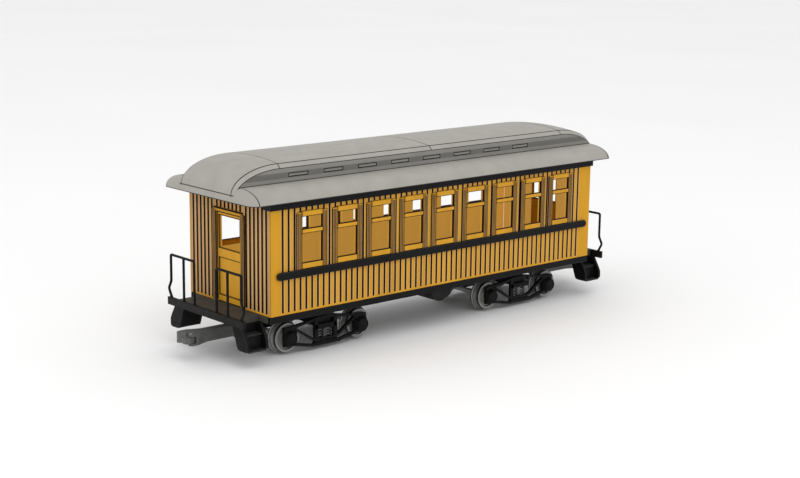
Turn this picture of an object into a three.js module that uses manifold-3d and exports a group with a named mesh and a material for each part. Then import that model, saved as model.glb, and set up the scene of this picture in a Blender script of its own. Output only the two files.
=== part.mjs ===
// Model passenger coach, 1:32 scale for 45 mm gauge track.
// Millimetres, +Z up. X runs along the coach, Y across it, and the wheel flanges touch z = 0.
// The origin is under the middle of the coach. "near" is the -X end, "right" is the -Y side.

import * as THREE from "three";
import { mergeVertices } from "three/addons/utils/BufferGeometryUtils.js";
import { ConvexGeometry } from "three/addons/geometries/ConvexGeometry.js";
import Module from "manifold-3d";

const wasm = await Module();
wasm.setup();

// ---------- driving dimensions ----------

const SEAM = 0.1; // gap between two fixed neighbours
const CLEARANCE = 0.3; // gap around anything that moves

const TREAD_RADIUS = 8.8;
const FLANGE_DEPTH = 1.5;
const AXLE_Z = TREAD_RADIUS + FLANGE_DEPTH;

const DECK_Z = 28.9; // top of the floor and of the platforms
const FRAME_DEPTH = 4.1; // depth of the underframe and side sills
const FRAME_BOTTOM = DECK_Z - FRAME_DEPTH;

const BODY_HALF = 129; // half length of the saloon
const SIDE_HALF = 39; // half width over the boards
const WALL = 2.4; // wall thickness
const WALL_TOP = DECK_Z + 63.5;

const BEAM_FACE = 146.2; // outer face of the end beams
const BEAM_THICK = 1.9;
const BEAM_HALF = 37.2;
const DECK_HALF = 28; // half width of the platform between its step wells

const BOARD_PITCH = 4.1;
const GROOVE_WIDTH = 0.85;
const GROOVE_DEPTH = 0.45;
const SIDE_BOARDS = 59; // grooves along a side
const END_GROOVES = 6; // grooves on each side of the door
const END_PITCH = 3.75;
const END_FIRST = 16.4; // |y| of the groove nearest the door
const CORNER_PANEL = 8.5; // plain board at the near corner of the right side
const FOOT_BAND = 1.1; // the grooves stop this far above the floor

const WINDOWS = 9; // per side
const WINDOW_PITCH = 25.1;
const WINDOW_WIDTH = 14;
const LOWER_LIGHT = [DECK_Z + 28, DECK_Z + 44.4];
const UPPER_LIGHT = [DECK_Z + 47.1, DECK_Z + 53.9];
const CASING_WIDTH = 21.8; // window frame with the reeded trim on both sides
const CASING_PROUD = 0.85;
const CASING_TOP = DECK_Z + 57.1;

const BELT = { low: DECK_Z + 20, high: DECK_Z + 24.4, half: 125.2, proud: 1.5 };
const LETTERBOARD = { low: DECK_Z + 59.5, half: 129.7, proud: 1.4, wrap: 6.9 };

const DOOR_HALF = 11.4;
const DOOR_TOP = DECK_Z + 52;
const DOOR_THICK = 1.4;
const DOOR_INNER = BODY_HALF - 1.8; // |x| of the leaf's inner face
const DOOR_PIVOT = { x: DOOR_INNER + 0.35, y: DOOR_HALF - 0.5, radius: 0.55 };
const DOOR_TRIM = { inner: 11.8, outer: 15.4, proud: 0.9 };
const DOOR_HEAD = { half: 13.9, low: DOOR_TOP + CLEARANCE, high: DECK_Z + 54.2, proud: 0.65 };

const EAVE_Z = WALL_TOP + SEAM; // underside of the roof
const EAVE_HALF = 44.3; // half width over the eaves
const CLERESTORY_HALF = 26.9;
const CLERESTORY_WALL = 2;
const LOWER_ROOF_RISE = 8;
const UPRIGHT_TOP = WALL_TOP + 16.1; // top of the clerestory side walls
const HIP_X = 139.7; // where the lower roof starts to curve down
const ROOF_END = 144.3;
const HOOD_FALL = { across: 6.5, down: 4.85 }; // how fast the end curve narrows and drops
const HOOD_START = BODY_HALF - 2;
const NOSE_END_Z = WALL_TOP + 4.1; // foot of the bullnose
const NOSE_START = 113;
const NOSE_END = ROOF_END - SEAM;
const CHAMFER = { width: 2.8, drop: 2.6 };
const CAP_TOP = UPRIGHT_TOP + CHAMFER.drop;
const CROWN_RISE = 1.75;
const VENTS = 8;
const VENT_PITCH = 25.1;
const VENT = { width: 14.2, low: DECK_Z + 74.4, high: DECK_Z + 76.8, depth: 0.6 };

const POST_RADIUS = 0.75;
const RAIL_HEIGHT = 25.1;
const RAIL_X = BEAM_FACE - 1;
const POSTS = { inner: 10.9, middle: 21.5, outer: 34.4, kink: 37 };

const STEP_X = [BODY_HALF + 0.4, BEAM_FACE - BEAM_THICK - 0.2];
const STEP_PLATE = 1.6;
const TREAD_DROP = [9.3, 17.6];
const TREAD_EDGE = [DECK_HALF, 33.3, 37.4];

const TANK = { radius: 8.7, drop: 2.3, half: 36.6 };

const TRUCK_X = 79.7; // truck centre to coach centre
const WHEELBASE = 52.4;
const WHEEL_BACK = 17.8; // |y| of the flange's back
const WHEEL_FACE = 23.4; // |y| of the wheel's outer face
const AXLE_RADIUS = 1.6;
const SIDE_FRAME_Y = [WHEEL_FACE + 0.6, WHEEL_FACE + 2.8];
const JOURNAL_FACE = 28.6;
const BOLSTER = { low: 14.2, high: 19.4, half: 6 };
const KINGPIN_RADIUS = 2;
const SWIVEL_BOSS = 7;

const COUPLER = { low: 10.7, high: 17.2, half: 3.1, pivot: 119.5, pin: 1.2 };
const DRAWBAR_EYE = { top: BOLSTER.low - CLEARANCE, radius: 3.4, length: 5.2 };
const KNUCKLE = { u: 38.6, v: -4.4, pin: 0.9, lug: 1.2 };

// ---------- materials ----------

const paint = (color, roughness, metalness = 0) =>
  new THREE.MeshStandardMaterial({ color, roughness, metalness });
const MATERIAL = {
  yellow: paint(0xcf9d33, 0.55),
  roof: paint(0xaca8a0, 0.6),
  black: paint(0x17181b, 0.5),
  frame: paint(0x3f3f41, 0.6),
  wheel: paint(0x8d8f8d, 0.45),
  coupler: paint(0x6a6b69, 0.5),
  steel: paint(0x9b9c9d, 0.35, 0.8),
};

// ---------- solids ----------

function toSolid(geometry) {
  const bare = geometry.clone();
  bare.deleteAttribute("normal");
  bare.deleteAttribute("uv");
  const merged = mergeVertices(bare, 1e-4);
  const mesh = new wasm.Mesh({
    numProp: 3,
    vertProperties: new Float32Array(merged.attributes.position.array),
    triVerts: new Uint32Array(merged.index.array),
  });
  return new wasm.Manifold(mesh);
}

function toGeometry(solid) {
  const mesh = solid.getMesh();
  const geometry = new THREE.BufferGeometry();
  geometry.setAttribute("position", new THREE.BufferAttribute(mesh.vertProperties, 3));
  geometry.setIndex(new THREE.BufferAttribute(mesh.triVerts, 1));
  geometry.computeVertexNormals();
  return geometry;
}

const join = (...solids) => solids.flat().reduce((total, solid) => total.add(solid));
const cut = (solid, ...tools) => tools.flat().reduce((rest, tool) => rest.subtract(tool), solid);

// A box between two corners, given in any order.
function box([x0, x1], [y0, y1], [z0, z1]) {
  const geometry = new THREE.BoxGeometry(Math.abs(x1 - x0), Math.abs(y1 - y0), Math.abs(z1 - z0));
  return toSolid(geometry.translate((x0 + x1) / 2, (y0 + y1) / 2, (z0 + z1) / 2));
}

// An outline drawn in one plane and pushed along the third axis between two values.
const PLANES = {
  z: [new THREE.Vector3(1, 0, 0), new THREE.Vector3(0, 1, 0), new THREE.Vector3(0, 0, 1)],
  y: [new THREE.Vector3(0, 0, 1), new THREE.Vector3(1, 0, 0), new THREE.Vector3(0, 1, 0)],
  x: [new THREE.Vector3(0, 1, 0), new THREE.Vector3(0, 0, 1), new THREE.Vector3(1, 0, 0)],
};

// Outline points are [x, y] for axis z, [z, x] for axis y and [y, z] for axis x.
function prism(outline, axis, [from, to]) {
  const shape = new THREE.Shape(outline.map(([a, b]) => new THREE.Vector2(a, b)));
  const depth = Math.abs(to - from);
  const geometry = new THREE.ExtrudeGeometry(shape, { depth, bevelEnabled: false });
  geometry.translate(0, 0, Math.min(from, to));
  geometry.applyMatrix4(new THREE.Matrix4().makeBasis(...PLANES[axis]));
  return toSolid(geometry);
}

// A side-view outline, [x, z] points, pushed across the coach.
const sideProfile = (points, span) => prism(points.map(([x, z]) => [z, x]), "y", span);

// A round bar between two points.
function bar(from, to, radius, sides = 16) {
  const start = new THREE.Vector3(...from);
  const end = new THREE.Vector3(...to);
  const geometry = new THREE.CylinderGeometry(radius, radius, start.distanceTo(end), sides);
  const direction = end.clone().sub(start).normalize();
  geometry.applyQuaternion(new THREE.Quaternion().setFromUnitVectors(new THREE.Vector3(0, 1, 0), direction));
  const middle = start.add(end).multiplyScalar(0.5);
  return toSolid(geometry.translate(middle.x, middle.y, middle.z));
}

// A profile of [radius, y] points turned about the Y axis.
function turned(profile, sides) {
  return toSolid(new THREE.LatheGeometry(profile.map(([r, y]) => new THREE.Vector2(r, y)), sides));
}

// ---------- scene graph ----------

const coach = new THREE.Group();

function add(parent, name, solid, material) {
  const mesh = new THREE.Mesh(toGeometry(solid), material);
  mesh.name = name;
  parent.add(mesh);
}

const ENDS = [
  { name: "near", sign: -1 },
  { name: "far", sign: 1 },
];
const SIDES = [
  { name: "right", sign: -1 },
  { name: "left", sign: 1 },
];
const AXLES = [
  { name: "outer", x: -TRUCK_X - WHEELBASE / 2 },
  { name: "inner", x: -TRUCK_X + WHEELBASE / 2 },
];

// A group turned half a turn, for the pieces that are made once and fitted both ways round.
function facing(sign) {
  const group = new THREE.Group();
  group.rotation.z = sign > 0 ? Math.PI : 0;
  coach.add(group);
  return group;
}

// ---------- underframe ----------

// Floor, platforms and the two plates that the trucks turn under.
function underframe() {
  const across = SIDE_HALF - WALL;
  const platformEnd = BEAM_FACE - BEAM_THICK - SEAM;
  const height = [FRAME_BOTTOM, DECK_Z - SEAM];
  const saloon = box([-BODY_HALF, BODY_HALF], [-across, across], height);
  const platforms = box([-platformEnd, platformEnd], [-DECK_HALF, DECK_HALF], height);
  const plates = ENDS.map(({ sign }) => {
    const x = sign * TRUCK_X;
    return bar([x, 0, BOLSTER.high + CLEARANCE], [x, 0, DECK_Z - 2], SWIVEL_BOSS, 24);
  });
  const kingpinHoles = ENDS.map(({ sign }) => {
    const x = sign * TRUCK_X;
    return bar([x, 0, BOLSTER.low], [x, 0, DECK_Z - 1], KINGPIN_RADIUS + SEAM, 24);
  });
  const doorSockets = ENDS.map(({ sign }) => {
    const [x, y] = [sign * DOOR_PIVOT.x, sign * DOOR_PIVOT.y];
    return bar([x, y, DECK_Z - 1.6], [x, y, DECK_Z + 1], DOOR_PIVOT.radius + SEAM, 12);
  });
  return cut(join(saloon, platforms, plates), kingpinHoles, doorSockets);
}

// The right-hand sill.
function sideSill() {
  const across = [-SIDE_HALF + 0.2, -SIDE_HALF + WALL - SEAM];
  return box([-BODY_HALF, BODY_HALF], across, [FRAME_BOTTOM, DECK_Z - SEAM]);
}

function endBeam() {
  const along = [-BEAM_FACE, -BEAM_FACE + BEAM_THICK];
  return box(along, [-BEAM_HALF, BEAM_HALF], [FRAME_BOTTOM - 0.4, DECK_Z]);
}

// A round drum across the coach at mid length, cut flat under the floor.
function underfloorTank() {
  const { radius, drop, half } = TANK;
  const drum = bar([0, -half, DECK_Z - drop], [0, half, DECK_Z - drop], radius, 32);
  return cut(drum, box([-radius, radius], [-SIDE_HALF, SIDE_HALF], [FRAME_BOTTOM - SEAM, DECK_Z + radius]));
}

// ---------- body ----------

// Outline points [along, face] of a board face with a groove at each centre.
function grooved(centres, face) {
  const half = GROOVE_WIDTH / 2;
  const floor = face + GROOVE_DEPTH;
  return centres.flatMap((c) => [
    [c - half, face],
    [c - half, floor],
    [c + half, floor],
    [c + half, face],
  ]);
}

// The right side wall, mitred at its ends, with its window casings.
function sideWall() {
  const first = -BODY_HALF + CORNER_PANEL;
  const grooves = Array.from({ length: SIDE_BOARDS }, (_, i) => first + i * BOARD_PITCH);
  const end = BODY_HALF - SEAM;
  const outline = [
    [-end, -SIDE_HALF],
    ...grooved(grooves, -SIDE_HALF),
    [end, -SIDE_HALF],
    [end - WALL, -SIDE_HALF + WALL],
    [-end + WALL, -SIDE_HALF + WALL],
  ];
  const boards = prism(outline, "z", [DECK_Z, WALL_TOP]);
  const mid = -SIDE_HALF + WALL / 2;
  const foot = box([first - 1, grooves.at(-1) + 1], [-SIDE_HALF, mid], [DECK_Z, DECK_Z + FOOT_BAND]);
  const centres = Array.from({ length: WINDOWS }, (_, i) => (i - (WINDOWS - 1) / 2) * WINDOW_PITCH);
  const casings = centres.map((x) => {
    const along = [x - CASING_WIDTH / 2, x + CASING_WIDTH / 2];
    return box(along, [-SIDE_HALF - CASING_PROUD, mid], [BELT.high + SEAM, CASING_TOP]);
  });
  const lights = centres.flatMap((x) =>
    [LOWER_LIGHT, UPPER_LIGHT].map((height) => {
      const along = [x - WINDOW_WIDTH / 2, x + WINDOW_WIDTH / 2];
      return box(along, [-SIDE_HALF - 3, -SIDE_HALF + WALL + 1], height);
    }),
  );
  return cut(join(boards, foot, casings), lights);
}

// The near end wall: doorway, door trim, and the socket for the door's upper pivot.
function endWall() {
  const half = Array.from({ length: END_GROOVES }, (_, i) => END_FIRST + i * END_PITCH);
  const centres = [...half.map((y) => -y).reverse(), ...half];
  const corner = SIDE_HALF - SEAM;
  const outline = [
    [-BODY_HALF, -corner],
    ...grooved(centres, -BODY_HALF).map(([y, x]) => [x, y]),
    [-BODY_HALF, corner],
    [-BODY_HALF + WALL, corner - WALL],
    [-BODY_HALF + WALL, -corner + WALL],
  ];
  const boards = prism(outline, "z", [DECK_Z, WALL_TOP]);
  const inside = -BODY_HALF + WALL / 2;
  const foot = box([-BODY_HALF, inside], [-half.at(-1) - 1, half.at(-1) + 1], [DECK_Z, DECK_Z + FOOT_BAND]);
  const { inner, outer, proud } = DOOR_TRIM;
  const trims = [-1, 1].map((side) =>
    box([-BODY_HALF - proud, inside], [side * inner, side * outer], [DECK_Z, DOOR_HEAD.low]),
  );
  const head = box(
    [-BODY_HALF - DOOR_HEAD.proud, inside],
    [-DOOR_HEAD.half, DOOR_HEAD.half],
    [DOOR_HEAD.low, DOOR_HEAD.high],
  );
  const opening = DOOR_HALF + CLEARANCE;
  const doorwayTop = DOOR_TOP + CLEARANCE;
  const doorway = box([-BODY_HALF - 2, -BODY_HALF + 4], [-opening, opening], [DECK_Z - 1, doorwayTop]);
  const { x, y, radius } = DOOR_PIVOT;
  const socket = bar([-x, -y, DOOR_TOP - 1], [-x, -y, DOOR_TOP + 1.7], radius + SEAM, 12);
  return cut(join(boards, foot, trims, head), doorway, socket);
}

// The near door: a window, a sunk panel, and a pivot pin standing out above and below one edge.
function door() {
  const { x, y, radius } = DOOR_PIVOT;
  const bottom = DECK_Z + CLEARANCE;
  const leaf = box([-DOOR_INNER - DOOR_THICK, -DOOR_INNER], [-DOOR_HALF, DOOR_HALF], [bottom, DOOR_TOP]);
  const opening = DOOR_HALF - 1.2;
  const light = box([-BODY_HALF, -BODY_HALF + 4], [-opening, opening], [DECK_Z + 31.3, DECK_Z + 50.3]);
  const panel = box([-BODY_HALF, -DOOR_INNER - 0.9], [-opening, opening], [DECK_Z + 4.1, DECK_Z + 25.8]);
  const pin = bar([-x, -y, DECK_Z - 1.2], [-x, -y, DOOR_TOP + 1.3], radius, 12);
  return join(cut(leaf, light, panel), pin);
}

// A long bar with round ends along the right side, under the windows.
function beltRail() {
  const radius = (BELT.high - BELT.low) / 2;
  const middle = (BELT.high + BELT.low) / 2;
  const straight = BELT.half - radius;
  const halfRound = (x, start) =>
    Array.from({ length: 9 }, (_, i) => {
      const angle = start + (i / 8) * Math.PI;
      return [x + radius * Math.cos(angle), middle + radius * Math.sin(angle)];
    });
  const outline = [...halfRound(straight, -Math.PI / 2), ...halfRound(-straight, Math.PI / 2)];
  return sideProfile(outline, [-SIDE_HALF - BELT.proud, -SIDE_HALF - SEAM]);
}

// A plain band under the eave, wrapped a little way round both corners.
function letterboard() {
  const { half, proud, low, wrap } = LETTERBOARD;
  const outer = -SIDE_HALF - proud;
  const height = [low, WALL_TOP];
  const wraps = ENDS.map(({ sign }) =>
    box([sign * half, sign * (BODY_HALF + SEAM)], [outer, outer + wrap], height),
  );
  return join(box([-half, half], [outer, -SIDE_HALF - SEAM], height), wraps);
}

// ---------- roof ----------

const quarterTurn = (count, point) =>
  Array.from({ length: count + 1 }, (_, i) => point((i / count) * (Math.PI / 2)));
const hull = (points) => toSolid(new ConvexGeometry(points.map((p) => new THREE.Vector3(...p))));

// The lower roof's outer curve at a given |x|, as [|y|, z] from the eave up.
function lowerRoofCurve(x) {
  const past = Math.max(0, x - HIP_X);
  const across = Math.sqrt(1 - (past / HOOD_FALL.across) ** 2);
  const down = Math.sqrt(1 - (past / HOOD_FALL.down) ** 2);
  return quarterTurn(8, (t) => [
    CLERESTORY_HALF + (EAVE_HALF - CLERESTORY_HALF) * across * Math.cos(t),
    EAVE_Z + LOWER_ROOF_RISE * down * Math.sin(t),
  ]);
}

// The solid hood over the near platform, both sides together.
function hood() {
  const stations = [HOOD_START, HIP_X, HIP_X + 1.6, HIP_X + 2.8, HIP_X + 3.8, ROOF_END];
  return hull(
    stations.flatMap((x) => lowerRoofCurve(x).flatMap(([y, z]) => [[-x, -y, z], [-x, y, z]])),
  );
}

// The bullnose in side view, as [|x|, z] along the top of the chamfer.
const noseCurve = quarterTurn(8, (t) => [
  NOSE_START + (NOSE_END - NOSE_START) * Math.sin(t),
  NOSE_END_Z + (CAP_TOP - NOSE_END_Z) * Math.cos(t),
]);

// The near half of the clerestory roof: crowned top, chamfered edges, bullnose over the hood.
function clerestoryRoof() {
  const flat = CLERESTORY_HALF - CHAMFER.width;
  const section = ([x, z]) => {
    const crown = (CROWN_RISE * (z - NOSE_END_Z)) / (CAP_TOP - NOSE_END_Z);
    const edges = [-1, 1].flatMap((side) => [
      [-x, side * CLERESTORY_HALF, z - CHAMFER.drop],
      [-x, side * flat, z],
      [-x, side * flat * 0.55, z + crown * 0.7],
    ]);
    return [...edges, [-x, 0, z + crown]];
  };
  const stations = [[SEAM / 2, CAP_TOP], ...noseCurve];
  const shell = stations.slice(1).map((station, i) => hull([...section(stations[i]), ...section(station)]));
  const coreHalf = CLERESTORY_HALF - CLERESTORY_WALL - SEAM;
  const coreTop = noseCurve.filter(([x]) => x > HOOD_START).map(([x, z]) => [-x, z - 1]);
  const core = sideProfile(
    [[-HOOD_START, EAVE_Z], [-HOOD_START, coreTop[0][1]], ...coreTop, [-NOSE_END, EAVE_Z]],
    [-coreHalf, coreHalf],
  );
  return cut(join(shell, core), hood().translate([0, 0, SEAM]), hood());
}

// The right half of the lower roof: its curve, the clerestory's side wall and half of both hoods.
function lowerRoof() {
  const inner = CLERESTORY_HALF - CLERESTORY_WALL;
  const outline = [
    [-inner, EAVE_Z],
    ...lowerRoofCurve(0).map(([y, z]) => [-y, z]),
    [-CLERESTORY_HALF, UPRIGHT_TOP - SEAM],
    [-inner, UPRIGHT_TOP - SEAM],
  ];
  const run = prism(outline, "x", [-HIP_X, HIP_X]);
  const aboveNose = ENDS.map(({ sign }) => {
    const under = noseCurve.map(([x, z]) => [sign * x, z - CHAMFER.drop - SEAM]);
    const corner = [
      [sign * (NOSE_END + 1), under.at(-1)[1]],
      [sign * (NOSE_END + 1), CAP_TOP],
      [sign * NOSE_START, CAP_TOP],
    ];
    return sideProfile([...under, ...corner], [-CLERESTORY_HALF - 1, -inner + 1]);
  });
  const hoods = [hood(), hood().rotate([0, 0, 180])];
  const leftHalf = box([-ROOF_END - 1, ROOF_END + 1], [-SEAM / 2, SIDE_HALF * 2], [EAVE_Z - 1, CAP_TOP]);
  const vents = Array.from({ length: VENTS }, (_, i) => {
    const x = (i - VENTS / 2) * VENT_PITCH;
    const along = [x - VENT.width / 2, x + VENT.width / 2];
    return box(along, [-CLERESTORY_HALF - 1, -CLERESTORY_HALF + VENT.depth], [VENT.low, VENT.high]);
  });
  return cut(join(cut(run, aboveNose), hoods), leftHalf, vents);
}

// ---------- platform railings and steps ----------

// A railing of the near platform: three posts on the end beam under one handrail.
function railing(side) {
  const at = (y, z) => [-RAIL_X, side * y, z];
  const foot = DECK_Z + SEAM;
  const top = DECK_Z + RAIL_HEIGHT;
  const { inner, middle, outer, kink } = POSTS;
  const bend = [at(outer, foot + 0.4), at(kink, foot + 4.9), at(outer, foot + 9.5), at(outer, top)];
  const bent = bend.slice(1).map((point, i) => bar(bend[i], point, POST_RADIUS, 8));
  const knees = bend.slice(1).map(([x, y, z]) => {
    const ball = new THREE.SphereGeometry(POST_RADIUS, 8, 6);
    return toSolid(ball.rotateX(Math.PI / 2).translate(x, y, z));
  });
  const straight = [inner, middle].map((y) => bar(at(y, foot), at(y, top), POST_RADIUS, 8));
  const feet = [inner, middle, outer].map((y) => bar(at(y, foot), at(y, foot + 0.7), 0.9, 12));
  const handrail = bar(at(inner - POST_RADIUS, top), at(outer, top), POST_RADIUS, 8);
  return join(bent, knees, straight, feet, handrail);
}

// Steps of the near platform: a solid flight of two treads between curved side plates.
function steps(side) {
  const under = FRAME_BOTTOM - SEAM;
  const [first, second] = TREAD_DROP.map((drop) => DECK_Z - drop);
  const [edge, nosing, toe] = TREAD_EDGE;
  const across = (points) => points.map(([y, z]) => [side * y, z]);
  const flight = across([
    [23.6, under],
    [edge, under],
    [edge, first],
    [nosing, first],
    [nosing, second],
    [toe, second],
    [toe, second - 1.2],
    [30.5, second - 1.2],
    [28.8, second + 0.2],
  ]);
  const plate = across([
    [23.6, under],
    [32.6, under],
    [36.2, DECK_Z - 10],
    [37.7, DECK_Z - 13],
    [37.8, DECK_Z - 16.7],
    [35.8, DECK_Z - 18.1],
    [30.5, DECK_Z - 18],
    [28.3, DECK_Z - 16.8],
  ]);
  const [inner, outer] = STEP_X;
  const ends = [[-outer, -outer + STEP_PLATE], [-inner - STEP_PLATE, -inner]];
  return join(prism(flight, "x", [-outer, -inner]), ends.map((span) => prism(plate, "x", span)));
}

// ---------- trucks ----------

// The near truck's cross member, with the tongue that carries the coupler.
function truckBolster() {
  const { low, high, half } = BOLSTER;
  const end = SIDE_FRAME_Y[0] - SEAM;
  const pivot = -COUPLER.pivot;
  const cross = box([-TRUCK_X - half, -TRUCK_X + half], [-end, end], [low, high]);
  const tongue = box([pivot, -TRUCK_X], [-DRAWBAR_EYE.radius, DRAWBAR_EYE.radius], [low, COUPLER.high]);
  const boss = bar([pivot, 0, low], [pivot, 0, COUPLER.high], DRAWBAR_EYE.radius, 24);
  const kingpinHole = bar([-TRUCK_X, 0, low - 1], [-TRUCK_X, 0, high + 1], KINGPIN_RADIUS + CLEARANCE, 24);
  const pinHole = bar([pivot, 0, low - 1], [pivot, 0, high + 1], COUPLER.pin + SEAM, 16);
  return cut(join(cross, tongue, boss), kingpinHole, pinHole);
}

// Headed pin that hangs the near truck from the underframe.
function kingpin() {
  const head = BOLSTER.low - CLEARANCE;
  const shank = bar([-TRUCK_X, 0, head - 1], [-TRUCK_X, 0, DECK_Z - 1.2], KINGPIN_RADIUS, 24);
  return join(shank, bar([-TRUCK_X, 0, head - 1.5], [-TRUCK_X, 0, head], 3.6, 24));
}

// Arch-bar side frame of the near truck, with springs in its middle bay.
function sideFrame(side) {
  const symmetric = (points) => [...points, ...points.map(([x, z]) => [-x, z]).reverse()];
  const place = (points) => points.map(([x, z]) => [x - TRUCK_X, z]);
  const outline = symmetric([
    [9.5, 2.6],
    [22.3, 6.3],
    [29.6, 6.8],
    [29.6, 15.2],
    [22.5, 17.1],
    [14.7, 18.1],
    [6.5, 19.6],
  ]);
  const bay = [
    [8.4, 5.2],
    [20.4, 8.6],
    [20.4, 14.9],
    [14.5, 15.9],
    [8.4, 16.9],
  ];
  const spring = { x: 2.6, low: 5, high: 12.4, radius: 0.65 };
  const middle = symmetric([
    [5, spring.low],
    [5, spring.high],
  ]);
  const [inner, outer] = SIDE_FRAME_Y.map((y) => side * y);
  const openings = [bay, bay.map(([x, z]) => [-x, z]), middle];
  const through = [inner - side, outer + side];
  const plate = cut(
    sideProfile(place(outline), [inner, outer]),
    openings.map((points) => sideProfile(place(points), through)),
  );
  const y = (inner + outer) / 2;
  const springs = [-1, 1].map((end) => {
    const x = end * spring.x - TRUCK_X;
    return bar([x, y, spring.low - 0.4], [x, y, spring.high + 0.4], spring.radius, 8);
  });
  const bearings = [-1, 1].map((end) => {
    const x = (end * WHEELBASE) / 2 - TRUCK_X;
    return bar([x, inner - side, AXLE_Z], [x, outer + side, AXLE_Z], AXLE_RADIUS + CLEARANCE, 16);
  });
  return cut(join(plate, springs), bearings);
}

// Round journal box that closes the bearing on the outside of a side frame.
function journalBox(x, side) {
  const back = SIDE_FRAME_Y[1] + SEAM;
  const profile = [
    [0, -JOURNAL_FACE],
    [3.4, -JOURNAL_FACE],
    [3.9, -JOURNAL_FACE + 0.5],
    [4.6, -back],
    [0, -back],
  ];
  return turned(profile, 20).rotate([0, 0, side > 0 ? 180 : 0]).translate([x, 0, AXLE_Z]);
}

// Two flanged wheels on one axle, turned as one piece.
function wheelset(x) {
  const axleEnd = SIDE_FRAME_Y[1] - SEAM;
  const half = [
    [AXLE_RADIUS, 0],
    [AXLE_RADIUS, WHEEL_BACK],
    [AXLE_Z - 0.3, WHEEL_BACK],
    [AXLE_Z, WHEEL_BACK + 0.6],
    [TREAD_RADIUS, WHEEL_BACK + 1.7],
    [TREAD_RADIUS, WHEEL_FACE],
    [TREAD_RADIUS - 2, WHEEL_FACE],
    [TREAD_RADIUS - 2.4, WHEEL_FACE - 1.2],
    [3.4, WHEEL_FACE - 1.2],
    [3, WHEEL_FACE],
    [AXLE_RADIUS, WHEEL_FACE],
    [AXLE_RADIUS, axleEnd],
    [0, axleEnd],
  ];
  const profile = [...half.map(([r, y]) => [r, -y]).reverse(), ...half.slice(1)];
  return turned(profile, 32).translate([x, 0, AXLE_Z]);
}

// ---------- coupler ----------

// Plan outline points [u, v] of the near coupler: u runs outwards from its pivot and v towards +Y.
const couplerPlan = (points, height) =>
  prism(points.map(([u, v]) => [-COUPLER.pivot - u, v]), "z", height);
const couplerBar = (u, v, [low, high], radius, sides) =>
  bar([-COUPLER.pivot - u, v, low], [-COUPLER.pivot - u, v, high], radius, sides);

// Drawbar and head, with the guard arm on one side and the knuckle's two lugs on the other.
function couplerBody() {
  const { low, high, half, pin } = COUPLER;
  const { top, radius, length } = DRAWBAR_EYE;
  const { u, v, lug } = KNUCKLE;
  const body = couplerPlan(
    [
      [length, -half],
      [27.7, -half],
      [34.6, -6.2],
      [36.4, -6.4],
      [36.4, 0.4],
      [38.6, 1],
      [39.2, 3.2],
      [40.9, 4.6],
      [41.4, 5.6],
      [38.6, 6.4],
      [35, 6.1],
      [27.7, half],
      [length, half],
    ],
    [low, high],
  );
  const neck = couplerPlan([[0, -half], [length + 1, -half], [length + 1, half], [0, half]], [low, top]);
  const eye = couplerBar(0, 0, [low, top], radius, 24);
  const lugShape = [
    [34.4, -6.2],
    [38.8, -6.6],
    [40.4, -4.4],
    [38.8, -2.6],
    [34.4, -1.4],
  ];
  const lugs = [[low, low + lug], [high - lug, high]].map((height) => couplerPlan(lugShape, height));
  const holes = [
    couplerBar(0, 0, [low - 1, top + 1], pin + CLEARANCE, 16),
    couplerBar(u, v, [low - 1, high + 1], KNUCKLE.pin + SEAM, 12),
  ];
  return cut(join(body, neck, eye, lugs), holes);
}

// The hook that swings between the lugs.
function knuckle() {
  const { u, v, pin, lug } = KNUCKLE;
  const height = [COUPLER.low + lug + CLEARANCE, COUPLER.high - lug - CLEARANCE];
  const hook = [
    [36.9, -4.4],
    [37.7, -6],
    [40, -6.6],
    [42.6, -5.5],
    [43.1, -2.8],
    [42.2, -0.6],
    [41, -0.8],
    [41, -2.6],
    [39.8, -2.7],
    [37.8, -2.9],
  ];
  return cut(couplerPlan(hook, height), couplerBar(u, v, [COUPLER.low, COUPLER.high], pin + CLEARANCE, 12));
}

function knucklePin() {
  const { u, v, pin } = KNUCKLE;
  const { low, high } = COUPLER;
  return join(
    couplerBar(u, v, [low, high + 0.4], pin, 12),
    couplerBar(u, v, [high + SEAM, high + 0.6], pin + 0.5, 12),
  );
}

// Rivet through the truck's tongue and the eye of the drawbar.
function couplerPin() {
  const { low, high, pin } = COUPLER;
  return join(
    couplerBar(0, 0, [low - 0.6, high + 0.6], pin, 16),
    couplerBar(0, 0, [high + SEAM, high + 0.9], pin + 1, 16),
    couplerBar(0, 0, [low - 0.9, low - CLEARANCE], pin + 1, 16),
  );
}

// ---------- assembly ----------

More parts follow.
